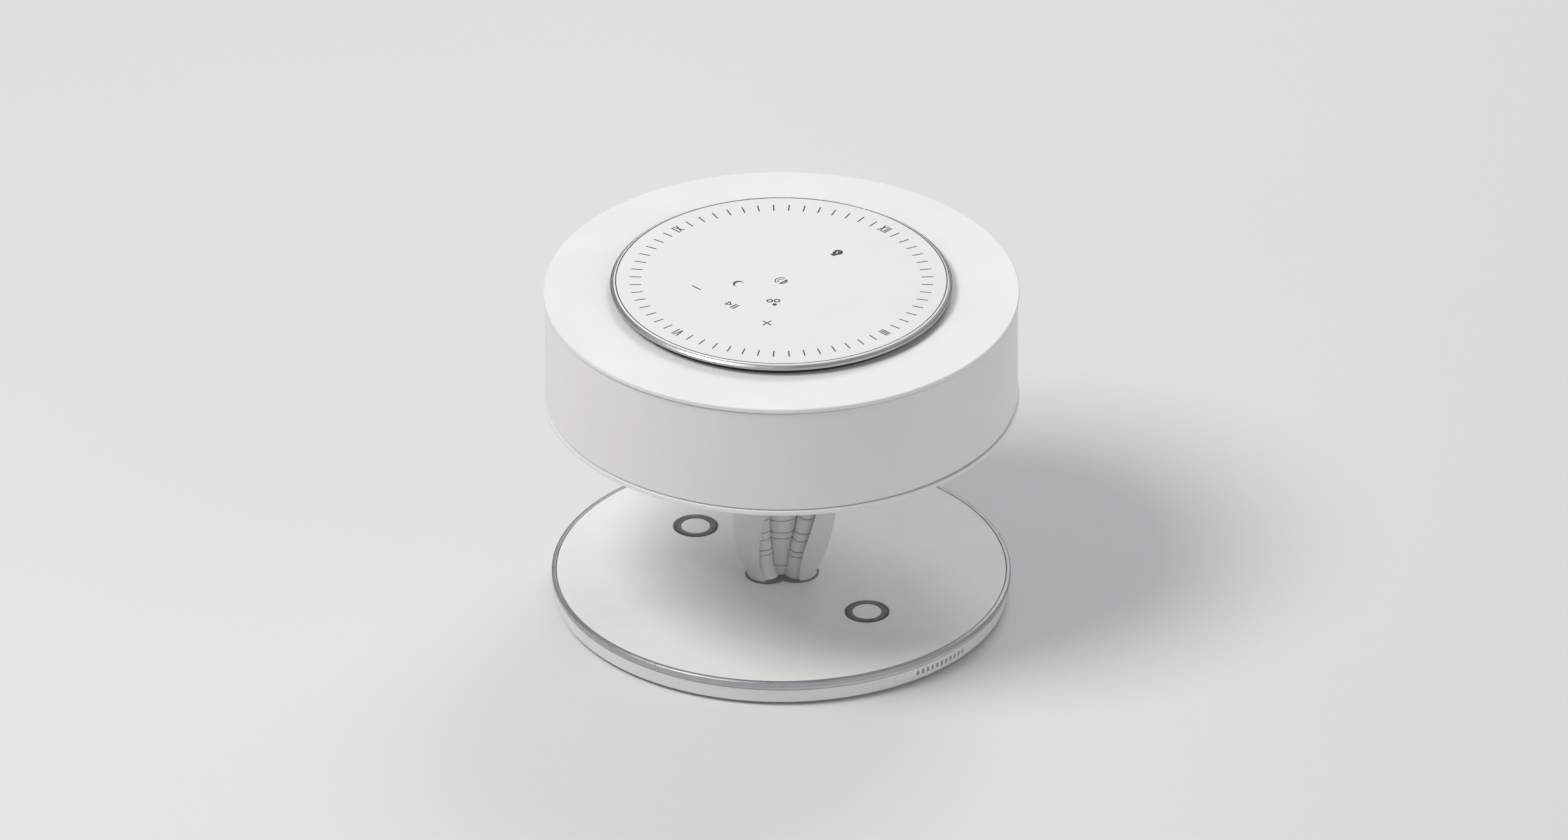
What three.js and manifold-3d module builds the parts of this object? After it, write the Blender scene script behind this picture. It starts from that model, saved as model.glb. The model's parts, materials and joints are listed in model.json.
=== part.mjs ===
// Bedside table lamp: round charging base, twisted three-stemmed trunk, drum shade and touch control disc.
// Millimetres, +Z up, origin at the centre of the footprint. The user sits on the -Y side.

import * as THREE from "three";
import { mergeVertices } from "three/addons/utils/BufferGeometryUtils.js";
import Module from "manifold-3d";

const wasm = await Module();
wasm.setup();

// ---------------------------------------------------------------- driving dimensions

const DRUM_R = 120;
const DRUM_BOTTOM = 113.7;
const DRUM_TOP = 175.6;
const WALL_R = 119.2;
const FACE_TOP = 181.4;
const RING_R = 86.3;
const FACE_R = 84.65;
const NECK_R = 83;

const FOOT_H = 1.65;
const PLATE_TOP = 14;
const PLATE_R = 113.5;
const TRIM_R = 115.7;
const SHELL_R = 114.8;
const SHELL_FOOT_R = 114;
const GROOVE_R = 113.9;

const PAD_X = 61;
const PAD_R = 11.1;
const PAD_RIB_R = 9.4;
const PAD_IN_R = 7.7;
const PAD_RIBS = 48;

const CLEARANCE = 0.3;
const SPIGOT_R = 7;
const BORE_R = 3;
const HARNESS_R = 1.6;

// segments of the large, middle-sized and small turned pieces
const LARGE = 48;
const MIDDLE = 32;
const SMALL = 16;

// levels, from the floor up
const FLOOR_TOP = FOOT_H + 2.2;
const SHELL_TOP = 9.24;
const GROOVE_TOP = 11.13;
const PLATE_BOTTOM = 12;
const COLLAR_TOP = PLATE_TOP + 0.6;
const RIM_TOP = DRUM_BOTTOM + 2.44;
const FLOOR_BOTTOM = DRUM_BOTTOM + 1;
const HUB_TOP = RIM_TOP + 2;
const BAFFLE_TOP = 134;
const LID_BOTTOM = 160;
const COVER_BOTTOM = DRUM_TOP - 2;
const COVER_RIM = DRUM_TOP - 2.5;
const RING_BOTTOM = FACE_TOP - 2.6;
const GLASS_BOTTOM = FACE_TOP - 1.1;

// ---------------------------------------------------------------- shape helpers

function toManifold(geometry) {
  const plain = geometry.clone();
  plain.deleteAttribute("normal");
  plain.deleteAttribute("uv");
  const merged = mergeVertices(plain, 1e-4);
  const index = merged.index.array;
  const corners = [];
  for (let i = 0; i < index.length; i += 3) {
    const [a, b, c] = index.slice(i, i + 3);
    if (a !== b && b !== c && c !== a) corners.push(a, b, c);
  }
  const mesh = new wasm.Mesh({
    numProp: 3,
    vertProperties: new Float32Array(merged.attributes.position.array),
    triVerts: new Uint32Array(corners),
  });
  return new wasm.Manifold(mesh);
}

function toGeometry(manifold) {
  const mesh = manifold.getMesh();
  const geometry = new THREE.BufferGeometry();
  geometry.setAttribute("position", new THREE.BufferAttribute(mesh.vertProperties, 3));
  geometry.setIndex(new THREE.BufferAttribute(mesh.triVerts, 1));
  geometry.computeVertexNormals();
  return geometry;
}

function cut(geometry, tools) {
  let solid = toManifold(geometry);
  for (const tool of tools) solid = solid.subtract(toManifold(tool));
  return toGeometry(solid);
}

function join(geometry, additions) {
  let solid = toManifold(geometry);
  for (const addition of additions) solid = solid.add(toManifold(addition));
  return toGeometry(solid);
}

// A body turned about Z from [radius, height] points: open on the axis at both ends, or a closed section.
function turned(points, segments) {
  const onAxis = points[0][0] === 0;
  const outline = onAxis ? points : [...points, points[0]];
  const geometry = new THREE.LatheGeometry(
    outline.map(([r, z]) => new THREE.Vector2(r, z)),
    segments,
  );
  return geometry.rotateX(Math.PI / 2);
}

function ring(inner, outer, low, high, segments = MIDDLE) {
  return turned([[inner, low], [outer, low], [outer, high], [inner, high]], segments);
}

function disc(radius, low, high, segments = MIDDLE) {
  return turned([[0, low], [radius, low], [radius, high], [0, high]], segments);
}

function prism(shape, low, high, curveSegments = 6) {
  const options = { depth: high - low, bevelEnabled: false, curveSegments };
  return new THREE.ExtrudeGeometry(shape, options).translate(0, 0, low);
}

function slab(width, depth, low, high) {
  return new THREE.BoxGeometry(width, depth, high - low).translate(0, 0, (low + high) / 2);
}

function polygon(points) {
  return new THREE.Shape(points.map(([x, y]) => new THREE.Vector2(x, y)));
}

function stadium(width, height) {
  const r = Math.min(width, height) / 2;
  const x = width / 2 - r;
  const y = height / 2 - r;
  const shape = new THREE.Shape();
  if (width >= height) {
    shape.absarc(x, 0, r, -Math.PI / 2, Math.PI / 2, false);
    shape.absarc(-x, 0, r, Math.PI / 2, Math.PI * 1.5, false);
  } else {
    shape.absarc(0, y, r, 0, Math.PI, false);
    shape.absarc(0, -y, r, Math.PI, Math.PI * 2, false);
  }
  return shape;
}

function polar(radius, angle) {
  return [radius * Math.cos(angle), radius * Math.sin(angle)];
}

function around(count, start, make) {
  const items = [];
  for (let i = 0; i < count; i += 1) items.push(make(start + (i * 2 * Math.PI) / count, i));
  return items;
}

// ---------------------------------------------------------------- scene graph and materials

const lamp = new THREE.Group();

const FINISHES = {
  shell: { color: 0xf1f0ec, roughness: 0.55 },
  trim: { color: 0xd9d9d6, roughness: 0.3, metalness: 0.6 },
  opal: { color: 0xfbf7ee, roughness: 0.45 },
  glass: { color: 0xf7f7f5, roughness: 0.12 },
  bark: { color: 0xefede8, roughness: 0.5 },
  rubber: { color: 0x8d8f91, roughness: 0.85 },
  dark: { color: 0x2b2d2f, roughness: 0.6 },
  steel: { color: 0xa9abad, roughness: 0.4, metalness: 0.9 },
  aluminium: { color: 0xc6c8ca, roughness: 0.45, metalness: 0.9 },
  copper: { color: 0xb5673a, roughness: 0.35, metalness: 0.9 },
  ferrite: { color: 0x3a3b3d, roughness: 0.8 },
  board: { color: 0x1f5a3a, roughness: 0.5 },
  phosphor: { color: 0xf2d35a, roughness: 0.6 },
  cone: { color: 0x34363a, roughness: 0.8 },
};

function add(name, geometry, finish) {
  const material = new THREE.MeshStandardMaterial(FINISHES[finish]);
  const mesh = new THREE.Mesh(geometry, material);
  mesh.name = name;
  lamp.add(mesh);
  return mesh;
}

// ---------------------------------------------------------------- base

const FASTENER_R = 92;
const FASTENERS = around(4, Math.PI / 4, (angle) => polar(FASTENER_R, angle));

function makeFeet() {
  const profile = [[0, 0], [8.4, 0], [9, 0.6], [9, FOOT_H], [0, FOOT_H]];
  FASTENERS.forEach(([x, y], i) => {
    add(`foot_pad_${i + 1}`, turned(profile, SMALL), "rubber").position.set(x, y, 0);
  });
}

function makeBaseScrews() {
  const head = FOOT_H + 0.3;
  const profile = [[0, head], [2.7, head], [2.7, head + 0.7], [1.25, head + 0.7], [1.25, 10], [0, 10]];
  FASTENERS.forEach(([x, y], i) => {
    add(`base_screw_${i + 1}`, turned(profile, 12), "steel").position.set(x, y, 0);
  });
}

const SOCKET_Z = 5.95;

function makeLowerShell() {
  const wallIn = 111.4;
  const profile = [
    [0, FOOT_H], [SHELL_FOOT_R - 0.7, FOOT_H], [SHELL_FOOT_R, FOOT_H + 0.7], [SHELL_R, SHELL_TOP],
    [GROOVE_R, SHELL_TOP], [GROOVE_R, GROOVE_TOP], [wallIn, GROOVE_TOP], [wallIn, FLOOR_TOP],
    [0, FLOOR_TOP],
  ];
  const standoffs = [[-26, 78], [26, 78], [-26, 102], [26, 102]];
  const posts = standoffs.map(([x, y]) => disc(2.4, FLOOR_TOP - 1, 5.2, 10).translate(x, y, 0));
  const holes = FASTENERS.map(([x, y]) => disc(1.6, 0, 8, 12).translate(x, y, 0));
  const recesses = FASTENERS.map(([x, y]) => disc(3.1, 0, FOOT_H + 1.1, 12).translate(x, y, 0));
  add("base_lower_shell", cut(join(turned(profile, LARGE), posts), [
    ...holes, ...recesses, ...ventSlots(), socketOpening(),
  ]), "shell");
}

// eleven upright slots through the wall, centred on the +X side
function ventSlots() {
  const count = 11;
  const pitch = THREE.MathUtils.degToRad(1.584);
  const slotZ = 5.85;
  const slots = [];
  for (let i = 0; i < count; i += 1) {
    const slot = prism(stadium(1.5, 3), 0, 10, 3);
    slot.rotateX(Math.PI / 2).rotateZ(Math.PI / 2).translate(107, 0, slotZ);
    slots.push(slot.rotateZ((i - (count - 1) / 2) * pitch));
  }
  return slots;
}

function socketOpening() {
  return prism(stadium(9.6, 3.9), 0, 10, 4).rotateX(Math.PI / 2).translate(0, 118, SOCKET_Z);
}

function makeTrimRing() {
  const ledgeIn = 109.5;
  const profile = [
    [ledgeIn, GROOVE_TOP], [TRIM_R - 0.4, GROOVE_TOP], [TRIM_R, GROOVE_TOP + 0.4],
    [TRIM_R, PLATE_TOP - 0.37], [TRIM_R - 0.7, PLATE_TOP], [PLATE_R, PLATE_TOP],
    [PLATE_R, PLATE_BOTTOM], [ledgeIn, PLATE_BOTTOM],
  ];
  add("base_trim_ring", turned(profile, LARGE), "trim");
}

function makeTopPlate() {
  const grooveBottom = PLATE_TOP - 1.2;
  const plate = ring(SPIGOT_R + CLEARANCE, PLATE_R - CLEARANCE, PLATE_BOTTOM, PLATE_TOP, LARGE);
  const grooves = [-PAD_X, PAD_X].map((x) =>
    ring(PAD_IN_R - CLEARANCE, PAD_R + CLEARANCE, grooveBottom, PLATE_TOP + 1, 24).translate(x, 0, 0));
  const bosses = FASTENERS.map(([x, y]) => disc(3.5, FLOOR_TOP + 0.3, 13, 12).translate(x, y, 0));
  const pilots = FASTENERS.map(([x, y]) => disc(1.6, 0, 10.5, 12).translate(x, y, 0));
  add("base_top_plate", cut(join(plate, bosses), [...grooves, ...pilots]), "shell");
}

// grip ring: plain inside, saw-toothed outside
function makeChargingPads() {
  const outline = around(PAD_RIBS * 2, 0, (angle, i) => polar(i % 2 ? PAD_RIB_R : PAD_R, angle));
  const shape = polygon(outline);
  shape.holes.push(new THREE.Path(around(24, 0, (angle) => new THREE.Vector2(...polar(PAD_IN_R, angle)))));
  const sides = { left: -PAD_X, right: PAD_X };
  for (const [side, x] of Object.entries(sides)) {
    const pad = prism(shape, PLATE_TOP - 1.2, PLATE_TOP + 0.2);
    add(`charging_grip_ring_${side}`, pad, "rubber").position.x = x;
    add(`charging_coil_${side}`, ring(9, 22, 10, PLATE_BOTTOM, 20), "copper").position.x = x;
    add(`ferrite_disc_${side}`, disc(24, 8.4, 10, 20), "ferrite").position.x = x;
  }
}

function makeBaseInside() {
  add("ballast_ring", ring(37, 70, FLOOR_TOP, 8), "steel");

  const board = slab(60, 32, 5.2, 6.8).translate(0, 90, 0);
  const notch = slab(9.7, 6, 4, 8).translate(0, 106, 0);
  add("main_board", cut(board, [notch]), "board");

  const tube = stadium(8.94, 3.26);
  tube.holes.push(new THREE.Path(stadium(8.24, 2.56).getPoints(4)));
  const shell = prism(tube, 0, 10, 4).rotateX(Math.PI / 2).translate(0, 113.4, SOCKET_Z);
  add("usb_c_shell", shell, "steel");

  const side = polygon([
    [103.7, -1], [105.3, -1], [105.3, -0.35], [110.8, -0.35], [110.8, 0.35], [105.3, 0.35],
    [105.3, 1], [103.7, 1],
  ]);
  const tongue = prism(side, -3.3, 3.3).rotateY(Math.PI / 2).rotateX(Math.PI / 2);
  add("usb_c_tongue", tongue.translate(0, 0, SOCKET_Z), "dark");
}

// ---------------------------------------------------------------- trunk

const LOBES = 3;
const TRUNK_TOP = DRUM_BOTTOM;
const TRUNK_LOW_H = COLLAR_TOP - PLATE_TOP;
const TRUNK_HIGH_H = TRUNK_TOP - PLATE_TOP;
const SPIGOT_LOW = PLATE_BOTTOM - 2.4;
const SPIGOT_HIGH = HUB_TOP + 3.36;
const PETAL_T = 1.1;
const FIRST_LOBE = THREE.MathUtils.degToRad(15);

// the value at a height, on straight lines between [height, value] stations
function through(stations, height) {
  let i = 1;
  while (i < stations.length - 1 && stations[i][0] < height) i += 1;
  const [h0, v0] = stations[i - 1];
  const [h1, v1] = stations[i];
  return THREE.MathUtils.lerp(v0, v1, (height - h0) / (h1 - h0));
}

// over the height above the base plate: how far a lobe's centre is from the axis, and the radii
const REACH = [[0, 9.8], [3, 10.7], [7, 12.2], [15, 14.6], [25, 16.8], [36, 18.3], [52, 19.9],
  [70, 21.6], [85, 24], [94, 26.6], [100, 29.2]];
const LEAF_R = [[0, 7.6], [3, 7.2], [8, 7.5], [15, 8.6], [24, 8.9], [36, 8.9], [60, 8.6], [88, 8.7],
  [100, 9]];
const STEM_R = [[0, 7.6], [3, 6.9], [8, 6.5], [15, 6.3], [60, 6.2], [100, 6.5]];
const CORE_R = [[0, 7.4], [12, 7.6], [24, 8.6], [36, 9.6], [60, 10], [80, 10.6], [100, 13.5]];
const PETAL_HALF_DEG = [[0, 61], [10, 68], [22, 75], [100, 78]];

function twist(height) {
  const wholeTwist = 50;
  const start = -4.3;
  const settle = 8 * Math.max(0, 1 - height / 12) ** 2;
  const rise = wholeTwist * THREE.MathUtils.smoothstep(height, 0, 100);
  return THREE.MathUtils.degToRad(start + settle + rise);
}

function lobePoint(lobe, height, radius, angle, inset = 0) {
  const direction = FIRST_LOBE + (lobe * 2 * Math.PI) / LOBES + twist(height);
  const [cx, cy] = polar(through(REACH, height) - inset, direction);
  const [dx, dy] = polar(radius, direction + angle);
  return [cx + dx, cy + dy];
}

// moves every vertex with place(x, y, z), which returns the new position
function shaped(geometry, place) {
  const position = geometry.attributes.position;
  for (let i = 0; i < position.count; i += 1) {
    position.setXYZ(i, ...place(position.getX(i), position.getY(i), position.getZ(i)));
  }
  return geometry;
}

function makeCollar() {
  const reach = 8.6;
  const radius = 11.2;
  const turn = THREE.MathUtils.degToRad(5);
  const halfArc = Math.PI / 3 + Math.asin((Math.sqrt(3) * reach) / (2 * radius));
  const outline = new THREE.Shape();
  for (let lobe = 0; lobe < LOBES; lobe += 1) {
    const direction = FIRST_LOBE + (lobe * 2 * Math.PI) / LOBES + turn;
    outline.absarc(...polar(reach, direction), radius, direction - halfArc, direction + halfArc, false);
  }
  const hole = new THREE.Path();
  hole.absarc(0, 0, SPIGOT_R + CLEARANCE, 0, Math.PI * 2, true);
  outline.holes.push(hole);
  add("trunk_collar", prism(outline, PLATE_TOP, COLLAR_TOP, 8), "rubber");
}

// a spigot at each end passes through the base plate and the drum's hub
function makeCore() {
  const profile = [[BORE_R, SPIGOT_LOW], [SPIGOT_R, SPIGOT_LOW], [SPIGOT_R, COLLAR_TOP]];
  const between = CORE_R.map(([height]) => height).slice(1, -1);
  for (const height of [TRUNK_LOW_H, ...between, TRUNK_HIGH_H]) {
    profile.push([through(CORE_R, height), PLATE_TOP + height]);
  }
  profile.push([SPIGOT_R, TRUNK_TOP], [SPIGOT_R, SPIGOT_HIGH], [BORE_R, SPIGOT_HIGH]);
  add("trunk_core", turned(profile, 24), "bark");
}

function makeStem(lobe, coreSpace) {
  const rod = new THREE.CylinderGeometry(1, 1, 1, 14, 10).rotateX(Math.PI / 2);
  const stem = shaped(rod, (x, y, z) => {
    const height = THREE.MathUtils.lerp(TRUNK_LOW_H, TRUNK_HIGH_H, z + 0.5);
    const radius = through(STEM_R, height);
    const inset = through(LEAF_R, height) - radius;
    const place = lobePoint(lobe, height, radius * Math.hypot(x, y), Math.atan2(y, x), inset);
    return [...place, PLATE_TOP + height];
  });
  add(`trunk_stem_${lobe + 1}`, cut(stem, [coreSpace]), "bark");
}

function makePetal(lobe) {
  const sheet = new THREE.BoxGeometry(2, 1, 1, 8, 1, 9);
  const petal = shaped(sheet, (x, y, z) => {
    const height = THREE.MathUtils.lerp(TRUNK_LOW_H, TRUNK_HIGH_H, z + 0.5);
    const inner = through(LEAF_R, height) + CLEARANCE;
    const angle = -x * THREE.MathUtils.degToRad(through(PETAL_HALF_DEG, height));
    return [...lobePoint(lobe, height, inner + (y + 0.5) * PETAL_T, angle), PLATE_TOP + height];
  });
  add(`trunk_petal_${lobe + 1}`, petal, "shell");
}

function makeTrunk() {
  makeCollar();
  makeCore();
  const margin = 0.35;
  const above = TRUNK_TOP + 20;
  const space = CORE_R.map(([height, radius]) => [radius + margin, PLATE_TOP + height]);
  space.unshift([0, 0], [space[0][0], 0]);
  space.push([space.at(-1)[0], above], [0, above]);
  const coreSpace = turned(space, 24);
  for (let lobe = 0; lobe < LOBES; lobe += 1) {
    makeStem(lobe, coreSpace);
    makePetal(lobe);
  }
  add("trunk_flange", ring(SPIGOT_R + CLEARANCE, 41, TRUNK_TOP, RIM_TOP), "steel");
  const nut = polygon(around(6, 0, (angle) => polar(11, angle)));
  const hole = around(SMALL, 0, (angle) => new THREE.Vector2(...polar(SPIGOT_R + CLEARANCE, angle)));
  nut.holes.push(new THREE.Path(hole));
  add("trunk_nut", prism(nut, SPIGOT_LOW, PLATE_BOTTOM), "steel");
  add("drum_nut", prism(nut, HUB_TOP, HUB_TOP + 3), "steel");
}

// ---------------------------------------------------------------- drum

const TUBE_R = 60;
const TUBE_IN_R = 57;
const HARNESS_X = 49.5;
const harnessHole = () => disc(HARNESS_R + 0.8, 120, 170, 10).translate(HARNESS_X, 0, 0);

function sector(inner, outer, from, to) {
  const shape = new THREE.Shape();
  shape.absarc(0, 0, outer, from, to, false);
  shape.absarc(0, 0, inner, to, from, true);
  return shape;
}

function makeDrumUnderside() {
  add("drum_bottom_ring", turned([
    [108, DRUM_BOTTOM], [DRUM_R - 0.4, DRUM_BOTTOM], [DRUM_R, DRUM_BOTTOM + 0.4], [DRUM_R, RIM_TOP],
    [112.3, RIM_TOP], [112.3, FLOOR_BOTTOM], [108, FLOOR_BOTTOM],
  ], LARGE), "shell");
  add("floor_diffuser", ring(62.3, 112, FLOOR_BOTTOM, RIM_TOP, LARGE), "opal");

  const grille = new THREE.Shape();
  grille.absarc(0, 0, 62, 0, Math.PI * 2, false);
  grille.holes.push(new THREE.Path(around(MIDDLE, 0, (angle) => new THREE.Vector2(...polar(41.3, angle)))));
  for (const slot of around(20, 0, (angle) => angle)) {
    const corners = [[45, -0.022], [56.5, -0.022], [56.5, 0.022], [45, 0.022]];
    grille.holes.push(new THREE.Path(corners.map(([r, a]) => new THREE.Vector2(...polar(r, slot + a)))));
  }
  add("sound_grille", prism(grille, FLOOR_BOTTOM, RIM_TOP, 24), "shell");

  const windows = around(6, 0.08, (angle) => prism(sector(45.5, 56.4, angle, angle + 0.88), 110, 125, 3));
  const hub = ring(SPIGOT_R + CLEARANCE, 66, RIM_TOP, HUB_TOP);
  add("hub_plate", cut(hub, windows), "steel");
}

function makeDrumOutside() {
  add("diffuser_wall", ring(117.2, WALL_R, RIM_TOP, COVER_RIM, LARGE), "opal");
  add("drum_cover", turned([
    [55, COVER_BOTTOM], [116.5, COVER_BOTTOM], [116.5, COVER_RIM], [DRUM_R, COVER_RIM],
    [DRUM_R, DRUM_TOP - 0.45], [DRUM_R - 0.45, DRUM_TOP], [55, DRUM_TOP],
  ], LARGE), "shell");
}

function makeLighting() {
  const sinkBottom = COVER_BOTTOM - 1.6;
  const boardBottom = sinkBottom - 1.6;
  add("heat_sink_ring", ring(60.4, 112, sinkBottom, COVER_BOTTOM), "aluminium");
  add("led_board", ring(64, 104, boardBottom, sinkBottom), "board");
  add("led_ring", ring(90, 94, boardBottom - 0.6, boardBottom), "phosphor");
}

function makeSpeakerHousing() {
  const baffleBottom = BAFFLE_TOP - 2;
  const baffle = turned([
    [TUBE_IN_R, HUB_TOP], [TUBE_R, HUB_TOP], [TUBE_R, BAFFLE_TOP], [30, BAFFLE_TOP],
    [30, baffleBottom], [TUBE_IN_R, baffleBottom],
  ], MIDDLE);
  add("speaker_baffle", cut(baffle, [harnessHole()]), "dark");

  add("centre_tube", turned([
    [TUBE_IN_R, BAFFLE_TOP], [TUBE_R, BAFFLE_TOP], [TUBE_R, COVER_BOTTOM], [TUBE_IN_R, COVER_BOTTOM],
    [TUBE_IN_R, LID_BOTTOM], [53, LID_BOTTOM], [53, LID_BOTTOM - 2], [TUBE_IN_R, LID_BOTTOM - 2],
  ], MIDDLE), "dark");

  const lidTop = LID_BOTTOM + 2;
  const boardBottom = lidTop + 3;
  const corners = [[-32, -24], [32, -24], [-32, 24], [32, 24]];
  const posts = corners.map(([x, y]) => disc(2.5, lidTop - 1, boardBottom, 10).translate(x, y, 0));
  const lid = join(disc(TUBE_IN_R - CLEARANCE, LID_BOTTOM, lidTop), posts);
  add("chamber_lid", cut(lid, [harnessHole()]), "dark");
  add("audio_board", slab(76, 60, boardBottom, boardBottom + 1.6), "board");
}

// ---------------------------------------------------------------- speaker, facing down

function makeSpeaker() {
  add("speaker_basket", turned([
    [30.5, BAFFLE_TOP], [34, BAFFLE_TOP], [34, 135.4], [32.2, 135.4], [21.5, 148], [12, 148],
    [12, 146.6], [20.7, 146.6], [30.5, 135.1],
  ], 24), "steel");
  add("speaker_front_plate", ring(9.6, 20, 148, 150.5, 24), "steel");
  add("speaker_magnet", ring(11, 22, 150.5, 156, 24), "ferrite");
  add("speaker_yoke", turned([
    [0, 148], [8.3, 148], [8.3, 156], [20, 156], [20, 158.5], [0, 158.5],
  ], 24), "steel");
  add("speaker_surround", turned([
    [27.4, 134.3], [28, 133.3], [28.9, 133.3], [29.6, 134.2], [30.1, 134.2], [30.1, 134.8],
    [27.4, 134.8],
  ], 24), "dark");
  add("speaker_cone", turned([
    [27, 135.2], [27, 136], [9.2, 144.6], [9.2, 151], [8.7, 151], [8.7, 143.9],
  ], 24), "cone");
  add("dust_cap", turned([
    [0, 139.4], [5, 139.9], [8.5, 141.1], [10.2, 142.3], [8, 141.8], [4.8, 140.6], [0, 140.1],
  ], 24), "cone");
}

// ---------------------------------------------------------------- control disc

function makeControlDisc() {
  const neckTop = RING_BOTTOM - CLEARANCE;
  const hubR = 79.2;
  const pocketR = 76;
  const pocketFloor = 178.2;
  const flangeTop = GLASS_BOTTOM - CLEARANCE;
  add("control_base", turned([
    [20, DRUM_TOP], [NECK_R, DRUM_TOP], [NECK_R, neckTop], [hubR, neckTop], [hubR, GLASS_BOTTOM],
    [pocketR, GLASS_BOTTOM], [pocketR, pocketFloor], [20, pocketFloor],
  ], LARGE), "dark");
  add("touch_board", disc(pocketR - 0.5, pocketFloor, 179.8), "board");
  add("touch_glass", turned([
    [0, GLASS_BOTTOM], [FACE_R, GLASS_BOTTOM], [FACE_R, FACE_TOP - 0.37], [FACE_R - 0.75, FACE_TOP],
    [0, FACE_TOP],
  ], LARGE), "glass");
  add("control_ring", turned([
    [hubR + CLEARANCE, RING_BOTTOM], [RING_R, RING_BOTTOM], [RING_R, FACE_TOP - 1.34],
    [FACE_R + CLEARANCE, FACE_TOP - 0.44], [FACE_R + CLEARANCE, flangeTop], [hubR + CLEARANCE, flangeTop],
  ], LARGE), "trim");
  add("ring_magnet", ring(80.2, 82.2, flangeTop, flangeTop + 0.15), "ferrite");
}

// ---------------------------------------------------------------- wires, from board to board

function makeHarness() {
  const route = [
    [0, 92, 8.8], [0, 82, 9], [0, 74, 10], [0, 38, 10], [0, 24, 8.4], [0, 13, 5.9], [0, 6, 6],
    [0, 1.4, 8.2], [0, 0, 12], [0, 0, 40], [0, 0, 80], [0, 0, 121], [3, 0, 125.2], [12, 0, 126.6],
    [40, 0, 126.4], [HARNESS_X - 1.6, 0, 129], [HARNESS_X, 0, 134], [HARNESS_X, 0, 163],
    [HARNESS_X - 1.5, 0, 167.4], [43.4, 0, 169.3], [34, 0, 169.3],
  ];
  const path = new THREE.CatmullRomCurve3(route.map((p) => new THREE.Vector3(...p)), false, "centripetal");
  const section = polygon(around(8, 0, (angle) => polar(HARNESS_R, angle)));
  const options = { steps: 56, extrudePath: path, curveSegments: 1 };
  add("wire_harness", new THREE.ExtrudeGeometry(section, options), "dark");
}

makeFeet();
makeBaseScrews();
makeLowerShell();
makeTrimRing();
makeTopPlate();
makeChargingPads();
makeBaseInside();
makeTrunk();
makeDrumUnderside();
makeDrumOutside();
makeLighting();
makeSpeakerHousing();
makeSpeaker();
makeControlDisc();
makeHarness();

export default lamp;
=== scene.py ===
# Looks of the bedside table lamp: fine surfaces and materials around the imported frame, studio and camera.
# Shapes are made in millimetres, +Z up, and put in the frame in metres. The user sits on the -Y side.

import json
from math import asin, atan2, cos, degrees, exp, hypot, pi, radians, sin, sqrt, tan

import bmesh
import bpy
from mathutils import Matrix, Vector


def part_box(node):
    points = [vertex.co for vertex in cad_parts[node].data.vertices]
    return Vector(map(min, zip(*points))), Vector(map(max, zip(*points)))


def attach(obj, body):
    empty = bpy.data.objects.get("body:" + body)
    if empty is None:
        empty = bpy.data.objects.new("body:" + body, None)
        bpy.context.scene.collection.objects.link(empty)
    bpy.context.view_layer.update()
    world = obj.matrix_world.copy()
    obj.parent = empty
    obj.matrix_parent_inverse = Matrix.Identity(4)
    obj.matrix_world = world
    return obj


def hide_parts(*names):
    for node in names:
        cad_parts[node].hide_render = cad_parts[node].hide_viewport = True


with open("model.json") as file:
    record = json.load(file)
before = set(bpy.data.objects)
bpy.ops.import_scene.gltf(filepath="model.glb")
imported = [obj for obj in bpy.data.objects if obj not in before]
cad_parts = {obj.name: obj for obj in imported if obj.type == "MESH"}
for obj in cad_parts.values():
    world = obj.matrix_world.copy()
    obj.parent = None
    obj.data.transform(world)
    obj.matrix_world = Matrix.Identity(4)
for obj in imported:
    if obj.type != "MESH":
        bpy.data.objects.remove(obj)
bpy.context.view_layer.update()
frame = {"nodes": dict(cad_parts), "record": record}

MM = 0.001
TURN = 2 * pi
LAMP, RING, CONE = "lamp_body", "dial_ring", "cone_assembly"

# sides of round pieces
ROUND = 256
LARGE = 128
MIDDLE = 96
SMALL = 40

# ---------------------------------------- sizes, from the frame


def span(node):
    """Outer radius, lowest level and highest level of a node that is round about the lamp's axis."""
    low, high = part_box(node)
    return high.x / MM, low.z / MM, high.z / MM


def levels(node):
    low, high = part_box(node)
    return low.z / MM, high.z / MM


def corners(node):
    low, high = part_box(node)
    return low / MM, high / MM


DRUM_R, COVER_RIM, DRUM_TOP = span("drum_cover")
WALL_R, RIM_TOP, WALL_TOP = span("diffuser_wall")
_, DRUM_BOTTOM, _ = span("drum_bottom_ring")
NECK_R, _, GLASS_BOTTOM = span("control_base")
FACE_R, _, FACE_TOP = span("touch_glass")
RING_R, RING_BOTTOM, RING_TOP = span("control_ring")
TRIM_R, GROOVE_TOP, PLATE_TOP = span("base_trim_ring")
SHELL_R, FOOT_H, _ = span("base_lower_shell")
PLATE_EDGE, _, _ = span("base_top_plate")
_, COLLAR_BOTTOM, COLLAR_TOP = span("trunk_collar")
FLANGE_R, TRUNK_TOP, _ = span("trunk_flange")
GRILLE_R, FLOOR_BOTTOM, _ = span("sound_grille")
FLOOR_R, _, _ = span("floor_diffuser")
HUB_R, _, HUB_TOP = span("hub_plate")

GAP = 0.3
PLATE_T = 2
PLATE_BOTTOM = PLATE_TOP - PLATE_T
PLATE_R = PLATE_EDGE + GAP
GROOVE_H = 1.89
GROOVE_DEPTH = 0.9
SHELL_TOP = GROOVE_TOP - GROOVE_H
GROOVE_R = SHELL_R - GROOVE_DEPTH
SPIGOT_R = 7
BORE_R = SPIGOT_R + GAP

PAD_W = 3.4
PAD_LOW, PAD_HIGH = corners("charging_grip_ring_right")
PAD_X = (PAD_LOW.x + PAD_HIGH.x) / 2
PAD_R = PAD_HIGH.x - PAD_X
PAD_IN_R = PAD_R - PAD_W

# ---------------------------------------- outlines


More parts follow.
